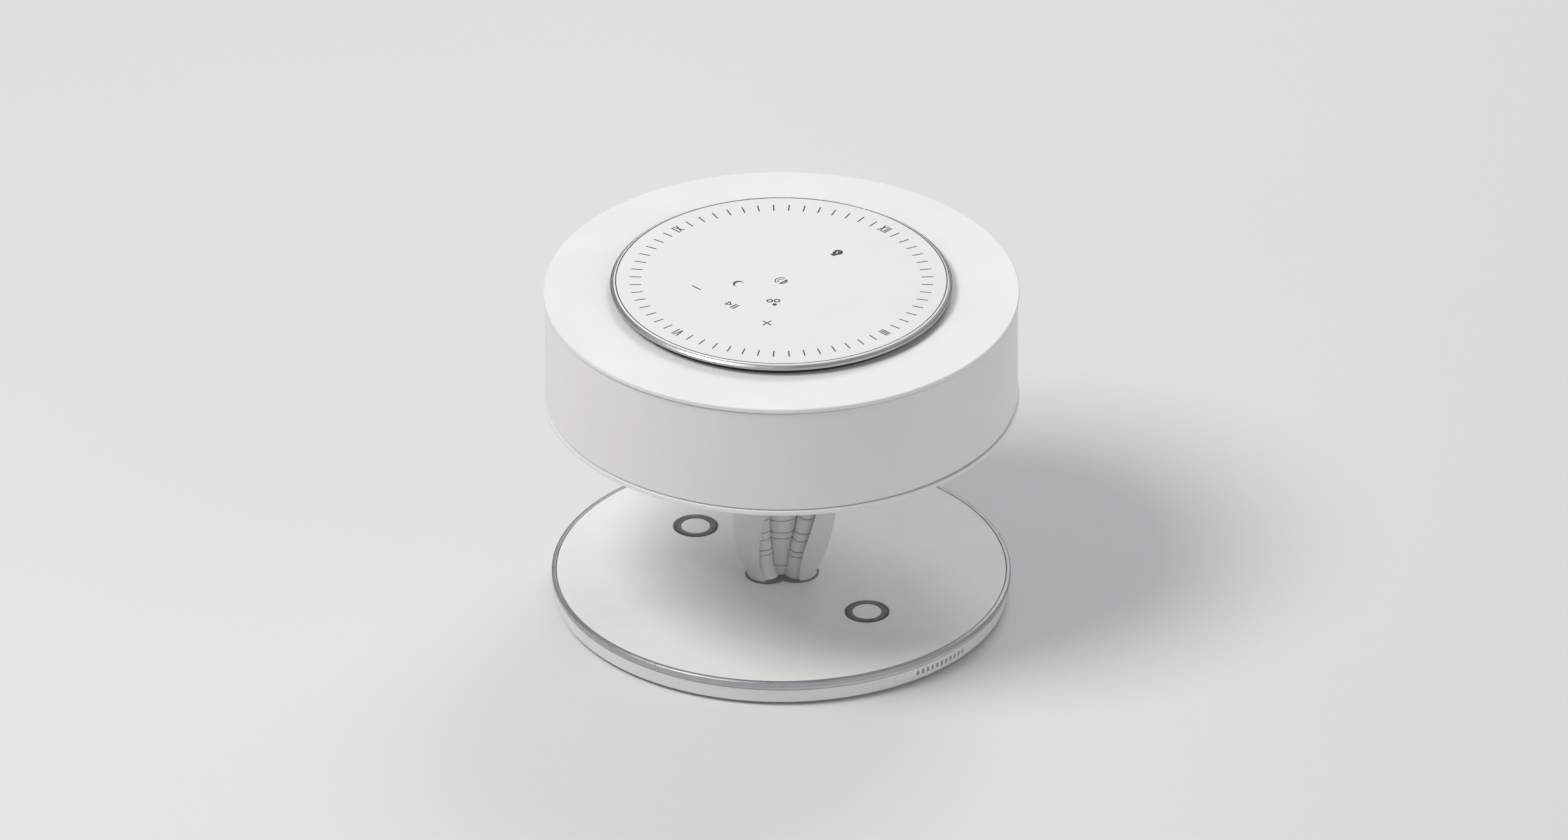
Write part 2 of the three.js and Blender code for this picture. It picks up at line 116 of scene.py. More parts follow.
def polar(radius, angle):
    """The point at a distance from the origin and an angle in radians."""
    return radius * cos(angle), radius * sin(angle)


def circle(radius, sides=MIDDLE, centre=(0, 0)):
    step = TURN / sides
    points = [polar(radius, i * step) for i in range(sides)]
    return [(x + centre[0], y + centre[1]) for x, y in points]


def arc(radius, start, end, steps, centre=(0, 0)):
    """Points along an arc, its angles in degrees."""
    angles = [radians(start + (end - start) * i / steps) for i in range(steps + 1)]
    return [(centre[0] + radius * cos(a), centre[1] + radius * sin(a)) for a in angles]


def stadium(width, height, steps=10):
    """A slot with round ends, its longer side along x where width is the greater."""
    r = min(width, height) / 2
    x, y = width / 2 - r, height / 2 - r
    if width >= height:
        return arc(r, -90, 90, steps, (x, 0)) + arc(r, 90, 270, steps, (-x, 0))
    return arc(r, 0, 180, steps, (0, y)) + arc(r, 180, 360, steps, (0, -y))


def rectangle(width, height, centre=(0, 0)):
    x, y = width / 2, height / 2
    return [(centre[0] + dx, centre[1] + dy) for dx, dy in ((-x, -y), (x, -y), (x, y), (-x, y))]


def moved(outline, dx, dy, angle=0.0):
    """The outline turned about the origin and then shifted."""
    c, s = cos(angle), sin(angle)
    return [(x * c - y * s + dx, x * s + y * c + dy) for x, y in outline]


def rounded(outline, radius, closed=True):
    """The outline with its corners rounded, by less where a side is short."""
    steps = 4
    straight = radians(87)
    most = 0.45
    made = []
    count = len(outline)
    for i, point in enumerate(outline):
        corner = Vector(point)
        before = Vector(outline[i - 1]) - corner
        after = Vector(outline[(i + 1) % count]) - corner
        half = before.angle(after) / 2
        is_end = not closed and i in (0, count - 1)
        if is_end or half > straight:
            made.append(tuple(corner))
            continue
        set_back = min(radius / tan(half), most * before.length, most * after.length)
        inward = (before.normalized() + after.normalized()).normalized()
        centre = corner + inward * (set_back / cos(half))
        first = corner + before.normalized() * set_back - centre
        last = corner + after.normalized() * set_back - centre
        for step in range(steps + 1):
            made.append(tuple(centre + first.slerp(last, step / steps) * first.length))
    return made


def ring_section(inner, outer, low, high):
    """The plain section of a ring, or of a disc where inner is 0."""
    return [(inner, low), (outer, low), (outer, high), (inner, high)]


# ---------------------------------------- meshes


def turned(profile, sides=ROUND, centre=(0, 0)):
    """A closed body turned about a vertical axis: its profile ends on the axis, or closes on itself."""
    on_axis = 1e-6
    mesh = bmesh.new()
    rings = []
    for radius, level in profile:
        points = circle(radius, sides, centre) if radius > on_axis else [centre]
        rings.append([mesh.verts.new((*point, level)) for point in points])
    pairs = list(zip(rings, rings[1:]))
    if len(rings[0]) > 1:
        pairs.append((rings[-1], rings[0]))
    for lower, upper in pairs:
        for i in range(sides):
            j = (i + 1) % sides
            face = [lower[i % len(lower)], lower[j % len(lower)]]
            face += [upper[j % len(upper)], upper[i % len(upper)]]
            face = list(dict.fromkeys(face))
            if len(face) > 2:
                mesh.faces.new(face)
    bmesh.ops.recalc_face_normals(mesh, faces=mesh.faces)
    return mesh


def soft_turned(profile, radius, sides=ROUND, centre=(0, 0)):
    """A turned body with rounded edges."""
    closed = profile[0][0] > 0
    return turned(rounded(profile, radius, closed), sides, centre)


def disc(radius, low, high, sides=SMALL, centre=(0, 0)):
    return turned(ring_section(0, radius, low, high), sides, centre)


def lofted(sections, shaded_rows=()):
    """A closed body through rings of points, all of one length, with flat ends.

    Rows of faces between two sections that are both listed as shaded rows get the second material: painted
    shade, a darker colour laid into a groove."""
    mesh = bmesh.new()
    rings = [[mesh.verts.new(point) for point in section] for section in sections]
    count = len(rings[0])
    for row, (lower, upper) in enumerate(zip(rings, rings[1:])):
        for i in range(count):
            j = (i + 1) % count
            face = mesh.faces.new((lower[i], lower[j], upper[j], upper[i]))
            # painted shade: the listed rows take the darker second material, standing in for the shade in the
            # grooves
            face.material_index = int(row in shaded_rows and row + 1 in shaded_rows)
    mesh.faces.new(rings[0][::-1])
    mesh.faces.new(rings[-1])
    bmesh.ops.recalc_face_normals(mesh, faces=mesh.faces)
    return mesh


def new_object(name, data):
    made = bpy.data.objects.new(name, data)
    bpy.context.scene.collection.objects.link(made)
    return made


def evaluated(item):
    """A mesh of the object as its modifiers or curve settings shape it."""
    bpy.context.view_layer.update()
    data = bpy.data.meshes.new_from_object(item.evaluated_get(bpy.context.evaluated_depsgraph_get()))
    mesh = bmesh.new()
    mesh.from_mesh(data)
    bpy.data.meshes.remove(data)
    return mesh


def from_curve(curve):
    """The mesh of a curve, which is then removed."""
    mesh = evaluated(new_object("curve", curve))
    bpy.data.curves.remove(curve)
    bmesh.ops.remove_doubles(mesh, verts=mesh.verts, dist=1e-4)
    bmesh.ops.recalc_face_normals(mesh, faces=mesh.faces)
    return mesh


def plate(outlines, low, high, edge=0.0):
    """A flat plate between two levels, with rounded edges and a hole where one outline lies in another."""
    curve = bpy.data.curves.new("plate", "CURVE")
    curve.dimensions = "2D"
    curve.fill_mode = "BOTH"
    curve.extrude = (high - low) / 2 - edge
    curve.bevel_depth = edge
    curve.bevel_resolution = 2
    curve.offset = -edge
    for outline in outlines:
        spline = curve.splines.new("POLY")
        spline.points.add(len(outline) - 1)
        for point, (x, y) in zip(spline.points, outline):
            point.co = (x, y, 0, 1)
        spline.use_cyclic_u = True
    mesh = from_curve(curve)
    bmesh.ops.translate(mesh, verts=mesh.verts, vec=(0, 0, (low + high) / 2))
    return mesh


def wire(route, radius):
    """A round wire with capped ends, on a smooth curve through a route of points."""
    curve = bpy.data.curves.new("wire", "CURVE")
    curve.dimensions = "3D"
    curve.bevel_depth = radius
    curve.bevel_resolution = 5
    curve.use_fill_caps = True
    spline = curve.splines.new("BEZIER")
    spline.bezier_points.add(len(route) - 1)
    for point, at in zip(spline.bezier_points, route):
        point.co = at
        point.handle_left_type = "AUTO"
        point.handle_right_type = "AUTO"
    return from_curve(curve)


def as_object(mesh, name="shape"):
    data = bpy.data.meshes.new(name)
    mesh.to_mesh(data)
    mesh.free()
    return new_object(name, data)


def together(*meshes):
    """Several closed bodies as one mesh."""
    whole = bmesh.new()
    for mesh in meshes:
        data = bpy.data.meshes.new("part")
        mesh.to_mesh(data)
        mesh.free()
        whole.from_mesh(data)
        bpy.data.meshes.remove(data)
    return whole


def carved(mesh, *tools):
    """The mesh with the tools cut out of it."""
    target = as_object(mesh)
    cutter = as_object(together(*tools), "cutter")
    boolean = target.modifiers.new("cut", "BOOLEAN")
    boolean.operation = "DIFFERENCE"
    boolean.solver = "EXACT"
    boolean.object = cutter
    made = evaluated(target)
    bmesh.ops.dissolve_degenerate(made, edges=made.edges, dist=2e-3)
    for item in (target, cutter):
        bpy.data.meshes.remove(item.data)
    return made


def turn(mesh, angle, axis, centre=(0, 0, 0)):
    """The mesh turned about an axis through a point, by an angle in degrees."""
    matrix = Matrix.Rotation(radians(angle), 3, axis)
    bmesh.ops.rotate(mesh, verts=mesh.verts, cent=centre, matrix=matrix)
    return mesh


def shift(mesh, x=0, y=0, z=0):
    bmesh.ops.translate(mesh, verts=mesh.verts, vec=(x, y, z))
    return mesh


def place(name, mesh, slot, nodes=(), body=LAMP, finish=None, second=None, crease=32):
    """Puts a mesh in the frame as a piece that rides on a body and stands for CAD nodes."""
    bmesh.ops.scale(mesh, verts=mesh.verts, vec=(MM, MM, MM))
    piece = as_object(mesh, name)
    piece.data.shade_smooth()
    piece.data.set_sharp_from_angle(angle=radians(crease))
    even = piece.modifiers.new("even shading", "WEIGHTED_NORMAL")
    even.keep_sharp = True
    piece.data.materials.append(MATERIALS[finish or slot])
    if second:
        piece.data.materials.append(MATERIALS[second])
    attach(piece, body)
    if nodes:
        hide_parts(*nodes)


def stand_in(node, mesh, slot, **options):
    """Places a mesh that stands for one CAD node."""
    place(node + "_fine", mesh, slot, [node], **options)


# ---------------------------------------- materials


class Paint:
    """A node material: a Principled shader whose colour, roughness and relief vary over the surface."""

    def __init__(self, name, colour, roughness, **shader):
        self.name = name
        self.material = bpy.data.materials.new(name)
        self.material.use_nodes = True
        self.tree = self.material.node_tree
        self.shader = self.tree.nodes["Principled BSDF"]
        self.shader.inputs["Base Color"].default_value = (*colour, 1)
        self.shader.inputs["Roughness"].default_value = roughness
        for key, value in shader.items():
            self.shader.inputs[key.replace("_", " ")].default_value = value
        self.colour = colour
        self.roughness = roughness
        self.place = self.node("TexCoord").outputs["Object"]
        self.relief = None

    def node(self, kind, **inputs):
        made = self.tree.nodes.new("ShaderNode" + kind)
        for key, value in inputs.items():
            socket = made.inputs[key.replace("_", " ")]
            if isinstance(value, bpy.types.NodeSocket):
                self.tree.links.new(value, socket)
            else:
                socket.default_value = value
        return made

    def math(self, operation, *values):
        made = self.node("Math")
        made.operation = operation
        for socket, value in zip(made.inputs, values):
            self.tree.links.new(value, socket)
        return made.outputs[0]

    def noise(self, size, detail=3.0, vector=None):
        """A soft random pattern whose blotches are about size millimetres across."""
        where = vector or self.place
        return self.node("TexNoise", Vector=where, Scale=1 / (size * MM), Detail=detail).outputs["Fac"]

    def colours(self, value, *stops):
        """The colour from a value, between two (position, colour) stops."""
        ramp = self.node("ValToRGB", Fac=value)
        for element, (position, colour) in zip(ramp.color_ramp.elements, stops):
            element.position = position
            element.color = (*colour, 1)
        self.tree.links.new(ramp.outputs["Color"], self.shader.inputs["Base Color"])
        return self

    def mottled(self, size, amount):
        """The colour a little darker and lighter in blotches."""
        dark = [c * (1 - amount) for c in self.colour]
        light = [min(1.0, c * (1 + amount)) for c in self.colour]
        return self.colours(self.noise(size), (0.35, dark), (0.65, light))

    def worn(self, size, amount):
        """The roughness higher and lower in blotches."""
        spread = self.node(
            "MapRange", Value=self.noise(size, 5.0), From_Min=0.3, From_Max=0.7,
            To_Min=self.roughness - amount, To_Max=self.roughness + amount,
        )
        self.tree.links.new(spread.outputs["Result"], self.shader.inputs["Roughness"])
        return self

    def raised(self, height, depth):
        """Relief from a height pattern, depth in millimetres, over any relief there already is."""
        bump = self.node("Bump", Height=height, Distance=depth * MM)
        if self.relief:
            self.tree.links.new(self.relief, bump.inputs["Normal"])
        self.relief = bump.outputs["Normal"]
        self.tree.links.new(self.relief, self.shader.inputs["Normal"])
        return self

    def grained(self, size, depth, detail=2.0):
        return self.raised(self.noise(size, detail), depth)

    def lathe_marks(self, size, depth):
        """Fine lines round the lamp's axis, as left by a turning tool."""
        x, y, z = self.node("SeparateXYZ", Vector=self.place).outputs
        squares = self.math("ADD", self.math("MULTIPLY", x, x), self.math("MULTIPLY", y, y))
        section = self.node("CombineXYZ", X=self.math("SQRT", squares), Y=0.0, Z=z).outputs["Vector"]
        return self.raised(self.noise(size, 2.0, section), depth)


def shell_paint(name, colour, roughness):
    """Moulded plastic with a fine spark-eroded texture."""
    paint = Paint(name, colour, roughness, Coat_Weight=0.08, Coat_Roughness=0.35)
    return paint.mottled(38, 0.018).worn(9, 0.05).grained(0.55, 0.016).grained(14, 0.05)


def grainy(name, colour, roughness, blotches, wear, grain, **shader):
    """A paint with blotches, wear and grain, each given as a size in millimetres and an amount."""
    return Paint(name, colour, roughness, **shader).mottled(*blotches).worn(*wear).grained(*grain)


def lathed(name, colour, roughness, blotches, wear, marks, **shader):
    """Turned metal, with blotches, wear and lathe marks given in the same way."""
    return Paint(name, colour, roughness, **shader).mottled(*blotches).worn(*wear).lathe_marks(*marks)


def make_materials():
    """The materials by name."""
    opal = Paint(
        "opal_diffuser", (0.80, 0.79, 0.76), 0.36, Subsurface_Weight=0.35, Subsurface_Scale=0.004,
        Coat_Weight=0.15, Coat_Roughness=0.25,
    )
    opal.shader.inputs["Subsurface Radius"].default_value = (1.0, 0.9, 0.75)
    opal.mottled(60, 0.012).worn(12, 0.04).grained(0.7, 0.01).grained(30, 0.06)

    sleeve = Paint("sleeve", (0.04, 0.041, 0.043), 0.75, Sheen_Weight=0.3, Sheen_Roughness=0.4)
    weave = sleeve.node("TexChecker", Vector=sleeve.place, Scale=1800.0).outputs["Fac"]
    sleeve.mottled(1.5, 0.3).worn(2, 0.06).raised(weave, 0.05).grained(0.4, 0.03)

    board = Paint("circuit_board", (0.02, 0.13, 0.06), 0.35, Coat_Weight=0.3)
    tracks = board.node("TexBrick", Vector=board.place, Scale=160.0, Mortar_Size=0.012).outputs["Fac"]
    board.colours(tracks, (0.3, board.colour), (0.7, (0.05, 0.24, 0.10)))
    board.worn(4, 0.06).raised(tracks, 0.03).grained(0.5, 0.01)

    paints = [
        opal, sleeve, board,
        shell_paint("white_shell", (0.80, 0.80, 0.785), 0.46),
        shell_paint("white_trunk", (0.79, 0.785, 0.765), 0.38),
        shell_paint("leaf_shell", (0.69, 0.685, 0.67), 0.34),
        lathed("satin_trim", (0.46, 0.465, 0.475), 0.32, (20, 0.04), (6, 0.05), (0.22, 0.012), Metallic=0.9),
        lathed("steel", (0.5, 0.505, 0.51), 0.34, (9, 0.08), (4, 0.08), (0.3, 0.012), Metallic=1.0),
        lathed("aluminium", (0.68, 0.69, 0.70), 0.4, (12, 0.06), (5, 0.07), (0.4, 0.02), Metallic=1.0),
        # painted shade: a dark grey laid into the growth-ring grooves of the trunk, where shade falls
        grainy("painted_groove_shade", (0.30, 0.295, 0.285), 0.6, (3, 0.12), (4, 0.08), (0.6, 0.01)),
        grainy(
            "touch_glass", (0.84, 0.845, 0.845), 0.12, (50, 0.01), (7, 0.04), (45, 0.03),
            Coat_Weight=0.6, Coat_Roughness=0.04,
        ),
        grainy("dial_ink", (0.028, 0.029, 0.031), 0.4, (1.2, 0.25), (2, 0.08), (0.3, 0.006)),
        grainy(
            "grey_silicone", (0.17, 0.175, 0.18), 0.62, (5, 0.10), (3, 0.06), (0.4, 0.02),
            Sheen_Weight=0.2, Sheen_Roughness=0.5,
        ),
        grainy("dark_plastic", (0.035, 0.036, 0.038), 0.5, (7, 0.2), (5, 0.07), (0.35, 0.015)),
        grainy(
            "speaker_rubber", (0.02, 0.02, 0.021), 0.7, (4, 0.25), (3, 0.06), (0.5, 0.02),
            Sheen_Weight=0.15,
        ),
        grainy(
            "copper", (0.62, 0.27, 0.13), 0.3, (3, 0.15), (2, 0.08), (0.8, 0.02),
            Metallic=0.9, Coat_Weight=0.4,
        ),
        grainy("ferrite", (0.05, 0.05, 0.055), 0.6, (1.2, 0.35), (2, 0.1), (0.25, 0.03)),
        grainy(
            "phosphor", (0.85, 0.62, 0.12), 0.55, (0.8, 0.12), (2, 0.08), (0.3, 0.02),
            Subsurface_Weight=0.1,
        ),
        grainy(
            "cone_paper", (0.05, 0.05, 0.052), 0.8, (1.5, 0.3), (2, 0.08), (0.5, 0.05, 6.0),
            Sheen_Weight=0.2,
        ),
    ]
    return {paint.name: paint.material for paint in paints}


MATERIALS = make_materials()
for part in frame["record"]["subparts"]:
    cad_mesh = frame["nodes"][part["node"]].data
    cad_mesh.materials.clear()
    cad_mesh.materials.append(MATERIALS[part["material_slot"]])

# ---------------------------------------- base

FASTENER_R = 92
FASTENERS = circle(FASTENER_R, 8)[1::2]
SCREW_R = 1.6
SOCKET_Z = 5.95


def vent_slots():
    """Eleven upright slots through the shell's wall, centred on the +X side."""
    count = 11
    length, width = 3, 1.5
    pitch_deg = 1.584
    level = 5.85
    slots = []
    for i in range(count):
        slot = plate([stadium(length, width)], SHELL_R - 8, SHELL_R + 4)
        slot = shift(turn(slot, 90, "Y"), z=level)
        slots.append(turn(slot, (i - (count - 1) / 2) * pitch_deg, "Z"))
    return slots


def socket_opening():
    width, height, depth = 9.6, 3.9, 10
    proud = 3.2
    opening = plate([stadium(width, height)], 0, depth)
    return shift(turn(opening, 90, "X"), y=SHELL_R + proud, z=SOCKET_Z)


def make_lower_shell():
    """The shell with screw wells, vents and a socket opening, and with posts under the main board."""
    wall_in = 111.4
    floor_top = FOOT_H + 2.2
    lean = 0.8
    chamfer = 0.7
    profile = [
        (0, FOOT_H), (SHELL_R - lean - chamfer, FOOT_H), (SHELL_R - lean, FOOT_H + chamfer),
        (SHELL_R, SHELL_TOP), (GROOVE_R, SHELL_TOP), (GROOVE_R, GROOVE_TOP), (wall_in, GROOVE_TOP),
        (wall_in, floor_top), (0, floor_top),
    ]
    well_r = 3.1
    well_top = FOOT_H + 1.1
    wells = [disc(well_r, 0, well_top, centre=at) for at in FASTENERS]
    holes = [disc(SCREW_R, 0, 8, centre=at) for at in FASTENERS]
    shell = carved(soft_turned(profile, 0.3), *vent_slots(), socket_opening(), *wells, *holes)

    post_r = 2.4
    fillet = 0.5
    board_bottom, _ = levels("main_board")
    post = [
        (0, floor_top), (post_r + fillet, floor_top), (post_r, floor_top + fillet), (post_r, board_bottom),
        (0, board_bottom),
    ]
    posts = [turned(post, SMALL, (x, y)) for x in (-26, 26) for y in (78, 102)]
    stand_in("base_lower_shell", together(shell, *posts), "white_shell")


def make_feet():
    """Round feet, each with a shallow hollow in the middle of its underside."""
    foot_r = 9
    hollow_r, hollow_h = 2.2, 0.35
    profile = [
        (0, hollow_h), (hollow_r, hollow_h), (hollow_r + 0.6, 0), (foot_r - 0.8, 0), (foot_r, 0.7),
        (foot_r, FOOT_H), (0, FOOT_H),
    ]
    for i, at in enumerate(FASTENERS):
        stand_in(f"foot_pad_{i + 1}", soft_turned(profile, 0.3, MIDDLE, at), "grey_silicone")


def make_trim_ring():
    ledge_in = 109.5
    profile = [
        (ledge_in, GROOVE_TOP), (TRIM_R - 0.4, GROOVE_TOP), (TRIM_R, GROOVE_TOP + 0.4),
        (TRIM_R, PLATE_TOP - 0.37), (TRIM_R - 0.7, PLATE_TOP), (PLATE_R, PLATE_TOP),
        (PLATE_R, PLATE_BOTTOM), (ledge_in, PLATE_BOTTOM),
    ]
    stand_in("base_trim_ring", soft_turned(profile, 0.25), "satin_trim")


def make_top_plate():
    """The plate with a groove for each grip ring, its edges chamfered, and with screw bosses below."""
    inner, outer = PAD_IN_R - GAP, PAD_R + GAP
    chamfer = 0.2
    above = PLATE_TOP + 1
    groove = [
        (inner, PAD_LOW.z), (outer, PAD_LOW.z), (outer, PLATE_TOP - chamfer),
        (outer + chamfer, PLATE_TOP + 0.01), (outer + chamfer, above), (inner - chamfer, above),
        (inner - chamfer, PLATE_TOP + 0.01), (inner, PLATE_TOP - chamfer),
    ]
    grooves = [turned(groove, MIDDLE, (x, 0)) for x in (-PAD_X, PAD_X)]
    section = ring_section(BORE_R, PLATE_EDGE, PLATE_BOTTOM, PLATE_TOP)
    top = carved(soft_turned(section, 0.3), *grooves)

    boss_r = 3.5
    fillet = 0.6
    low, _ = levels("base_top_plate")
    boss = [
        (SCREW_R, low), (boss_r, low), (boss_r, PLATE_BOTTOM - fillet), (boss_r + fillet, PLATE_BOTTOM),
        (SCREW_R, PLATE_BOTTOM),
    ]
    bosses = [turned(boss, SMALL, at) for at in FASTENERS]
    stand_in("base_top_plate", together(top, *bosses), "white_shell")


def make_grip_rings():
    """Grip rings of the two charging places: a smooth bead inside, 48 ribs outside."""
    ribs = 48
    steps = 8
    rib_depth = 1.5
    squareness = 1.7
    root = PAD_R - rib_depth
    teeth = []
    for i in range(ribs * steps):
        angle = TURN * i / (ribs * steps)
        wave = max(-1.0, min(1.0, squareness * cos(ribs * angle)))
        teeth.append(polar(root + rib_depth * (1 + wave) / 2, angle))
    bottom, top = PAD_LOW.z, PAD_HIGH.z
    bead_r = root - 0.3
    bead = [
        (PAD_IN_R, bottom), (bead_r, bottom), (bead_r, top - 0.5), (bead_r - 0.3, top - 0.1),
        (bead_r - 0.55, top), (PAD_IN_R + 0.3, top), (PAD_IN_R, top - 0.3),
    ]
    for side, x in (("left", -PAD_X), ("right", PAD_X)):
        ribbed = plate([teeth, circle(bead_r)], bottom, top - 0.1, 0.12)
        pad = together(ribbed, soft_turned(bead, 0.2, MIDDLE))
        stand_in(f"charging_grip_ring_{side}", shift(pad, x=x), "grey_silicone")


# ---------------------------------------- trunk

LOBES = 3
FIRST_LOBE = radians(15)
LOW_H = COLLAR_TOP - PLATE_TOP
HIGH_H = TRUNK_TOP - PLATE_TOP
PETAL_T = 1.1

# (height above the base plate, value): reach of a lobe's centre from the axis, radii, half of a petal's arc
REACH = [(0, 9.8), (3, 10.7), (7, 12.2), (15, 14.6), (25, 16.8), (36, 18.3), (52, 19.9), (70, 21.6),
         (85, 24), (94, 26.6), (100, 29.2)]
LEAF_R = [(0, 7.6), (3, 7.2), (8, 7.5), (15, 8.6), (24, 8.9), (36, 8.9), (60, 8.6), (88, 8.7), (100, 9)]
STEM_R = [(0, 7.6), (3, 6.9), (8, 6.5), (15, 6.3), (60, 6.2), (100, 6.5)]
CORE_R = [(0, 7.4), (12, 7.6), (24, 8.6), (36, 9.6), (60, 10), (80, 10.6), (100, 13.5)]
PETAL_HALF_DEG = [(0, 61), (10, 68), (22, 75), (100, 78)]

# heights of the growth rings moulded round the stems and the core
STEM_RINGS = (13.3, 16.3, 22.8, 27.3, 35.6, 41.5, 46, 54, 58.5, 66.5, 71.5, 79.5, 84, 90.5)
CORE_RINGS = (5.5, 21.7, 25.3, 32.5, 43, 47, 55, 60, 67.5, 72, 80, 84.5, 91)
RING_WIDTH = 0.42
RING_DEPTH = 0.5


def through(stations, height):
    """The value at a height on a smooth curve through the stations, which never overshoots them."""
    last = len(stations) - 1
    i = 1
    while i < last and stations[i][0] < height:
        i += 1
    (h0, v0), (h1, v1) = stations[i - 1], stations[i]
    slope = (v1 - v0) / (h1 - h0)

    def tangent(k):
        if k in (0, last):
            return slope
        (ha, va), (hb, vb), (hc, vc) = stations[k - 1 : k + 2]
        before, after = (vb - va) / (hb - ha), (vc - vb) / (hc - hb)
        if before * after <= 0:
            return 0.0
        return 2 * before * after / (before + after)

    width = h1 - h0
    t = (height - h0) / width
    start, end = tangent(i - 1) * width, tangent(i) * width
    return (
        v0 * (2 * t**3 - 3 * t**2 + 1) + start * (t**3 - 2 * t**2 + t)
        + v1 * (3 * t**2 - 2 * t**3) + end * (t**3 - t**2)
    )


def lobe_direction(lobe, height):
    """The trunk twists by 50 degrees, after a small turn the other way at its foot."""
    whole_twist = 50
    start = -4.3
    settle = 8 * max(0.0, 1 - height / 12) ** 2
    t = max(0.0, min(1.0, height / 100))
    twist = radians(start + settle + whole_twist * t * t * (3 - 2 * t))
    return FIRST_LOBE + lobe * TURN / LOBES + twist


def lobe_point(lobe, height, radius, angle, inset=0.0):
    """The point at a radius and angle about a lobe's centre, the angle measured from its direction."""
    direction = lobe_direction(lobe, height)
    cx, cy = polar(through(REACH, height) - inset, direction)
    dx, dy = polar(radius, direction + angle)
    return cx + dx, cy + dy, PLATE_TOP + height


def ring_groove(height, rings):
    """How far the surface dips at a height because of the growth rings."""
    return sum(RING_DEPTH * exp(-(((height - h) / RING_WIDTH) ** 2)) for h in rings)


def in_groove(height, rings):
    return any(abs(height - h) < RING_WIDTH * 0.6 for h in rings)


def heights(rings=()):
    """Heights from the collar to the trunk's top, about 1 mm apart and closer at the growth rings."""
    count = round(HIGH_H - LOW_H)
    made = [LOW_H + (HIGH_H - LOW_H) * i / count for i in range(count + 1)]
    near = [h + RING_WIDTH * k / 2 for h in rings for k in range(-4, 5)]
    made += [h for h in near if LOW_H + 0.1 < h < HIGH_H - 0.1]
    made.sort()
    return [h for i, h in enumerate(made) if i == 0 or h - made[i - 1] > 0.02]


def make_collar():
    """Three-lobed rubber collar between the base plate and the trunk."""
    reach = 8.6
    radius = 11.2
    turned_by = radians(5)
    half_arc = degrees(pi / 3 + asin(sqrt(3) * reach / (2 * radius)))
    outline = []
    for lobe in range(LOBES):
        direction = FIRST_LOBE + lobe * TURN / LOBES + turned_by
        middle = degrees(direction)
        outline += arc(radius, middle - half_arc, middle + half_arc, 40, polar(reach, direction))
    collar = plate([outline, circle(BORE_R)], COLLAR_BOTTOM, COLLAR_TOP, 0.35)
    stand_in("trunk_collar", collar, "grey_silicone")


def make_core():
    """The hollow column between the stems, with a spigot at each end and growth rings round it."""
    bore_r = 3
    low, high = levels("trunk_core")
    profile = [(bore_r, low), (SPIGOT_R, low), (SPIGOT_R, COLLAR_TOP)]
    for h in heights(CORE_RINGS):
        profile.append((through(CORE_R, h) - ring_groove(h, CORE_RINGS), PLATE_TOP + h))
    profile += [(SPIGOT_R, TRUNK_TOP), (SPIGOT_R, high), (bore_r, high)]
    core = turned(profile, MIDDLE)
    # painted shade: faces in the growth-ring grooves take the dark second material
    for face in core.faces:
        height = face.calc_center_median().z - PLATE_TOP
        face.material_index = int(in_groove(height, CORE_RINGS))
    stand_in("trunk_core", core, "white_trunk", second="painted_groove_shade")


def make_stems():
    """Round stems that lean out and twist. Their sections and growth rings tilt against the lean."""
    end = 8
    dip = -0.8
    clear_of_core = 0.35
    rows = heights(STEM_RINGS)
    # painted shade: rows in the growth-ring grooves take the dark second material
    shaded_rows = [row for row, h in enumerate(rows) if in_groove(h, STEM_RINGS)]

    def stem_point(lobe, h, radius, angle):
        return lobe_point(lobe, h, radius, angle, through(LEAF_R, h) - through(STEM_R, h))

    for lobe in range(LOBES):
        sections = []
        for h in rows:
            lower = stem_point(lobe, h - 0.5, 0, 0)
            upper = stem_point(lobe, h + 0.5, 0, 0)
            lean_x, lean_y = upper[0] - lower[0], upper[1] - lower[1]
            lean = atan2(lean_y, lean_x) - lobe_direction(lobe, h)
            ease = min(1.0, (h - LOW_H) / end, (HIGH_H - h) / end)
            tilt = dip * hypot(lean_x, lean_y) * ease * through(STEM_R, h)
            section = []
            for i in range(MIDDLE):
                angle = TURN * i / MIDDLE
                at = h - tilt * cos(angle - lean)
                radius = through(STEM_R, at) - ring_groove(h, STEM_RINGS)
                x, y, z = stem_point(lobe, at, radius, angle)
                nearest = through(CORE_R, at) + clear_of_core
                out = max(1.0, nearest / hypot(x, y))
                section.append((x * out, y * out, z))
            sections.append(section)
        stand_in(f"trunk_stem_{lobe + 1}", lofted(sections, shaded_rows), "white_trunk", second="painted_groove_shade")


def make_petals():
    """Thin curved leaves round the outside of the stems, with flat edges and rounded corners."""
    across = 36
    corner = 0.24
    flat = PETAL_T / 2 - corner
    edge = arc(corner, 90, 0, 4, (0, flat))[1:] + arc(corner, 0, -90, 4, (0, -flat))[:-1]
    for lobe in range(LOBES):
        sections = []
        for h in heights():
            middle = through(LEAF_R, h) + GAP + PETAL_T / 2
            half = radians(through(PETAL_HALF_DEG, h)) - corner / middle
            section = []
            for side in (1, -1):
                radius = middle + side * PETAL_T / 2
                for i in range(across + 1):
                    section.append(lobe_point(lobe, h, radius, side * half * (2 * i / across - 1)))
                for along, out in edge:
                    section.append(lobe_point(lobe, h, middle + side * out, side * (half + along / middle)))
            sections.append(section)
        stand_in(f"trunk_petal_{lobe + 1}", lofted(sections), "white_shell", finish="leaf_shell", crease=50)


# ---------------------------------------- drum


